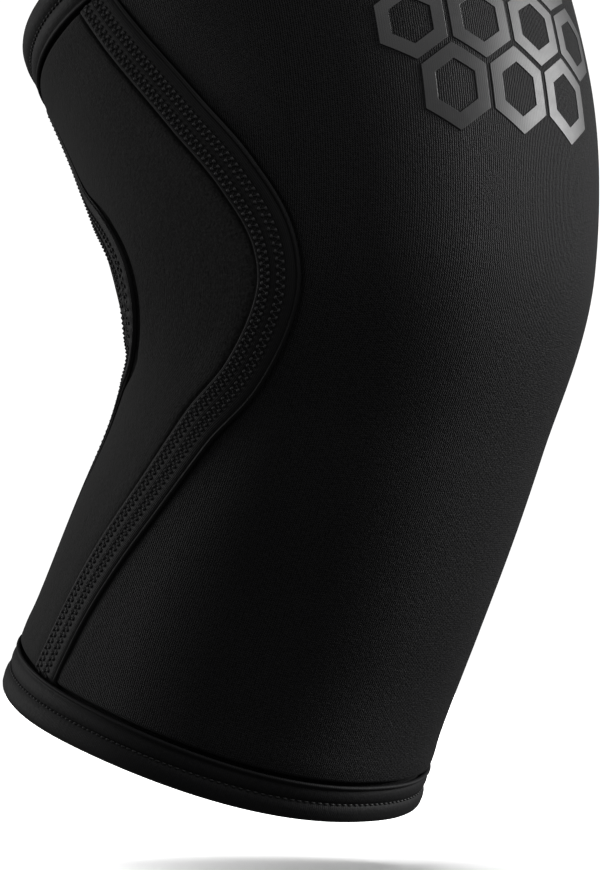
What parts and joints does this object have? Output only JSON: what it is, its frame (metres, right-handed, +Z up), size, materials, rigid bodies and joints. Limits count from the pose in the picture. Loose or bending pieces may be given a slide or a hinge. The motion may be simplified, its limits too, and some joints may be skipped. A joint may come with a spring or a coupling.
{
  "type": "knee sleeve",
  "caption": "Bent tubular knee sleeve of black neoprene: front, side and back panels joined by curved taped seams, with stitched hems and both ends open.",
  "frame": {"origin": "the middle of the knee, inside the hollow, where the leg's middle line bends", "axes": "+Z up, +Y to the back of the knee, -Y to the front, +X to the right as seen from the front; the part is symmetric about the YZ plane"},
  "size_m": [0.1494, 0.1853, 0.2633],
  "materials": {
    "front_jersey": "fine ribbed knit, low sheen",
    "back_jersey": "matte plush knit",
    "seam_tape": "flat woven stretch tape, low sheen",
    "hem_binding": "folded knit binding, low sheen",
    "thread": "polyester sewing thread",
    "front_print": "glossy grey transfer print"
  },
  "bodies": {
    "root": {"front_panel": "front_jersey", "side_panel_left": "back_jersey", "side_panel_right": "back_jersey", "back_panel": "back_jersey", "side_seam_tape_left": "seam_tape", "side_seam_tape_right": "seam_tape", "pit_seam_tape_left": "seam_tape", "pit_seam_tape_right": "seam_tape", "bottom_hem": "hem_binding", "top_hem": "hem_binding"}
  },
  "joints": []
}
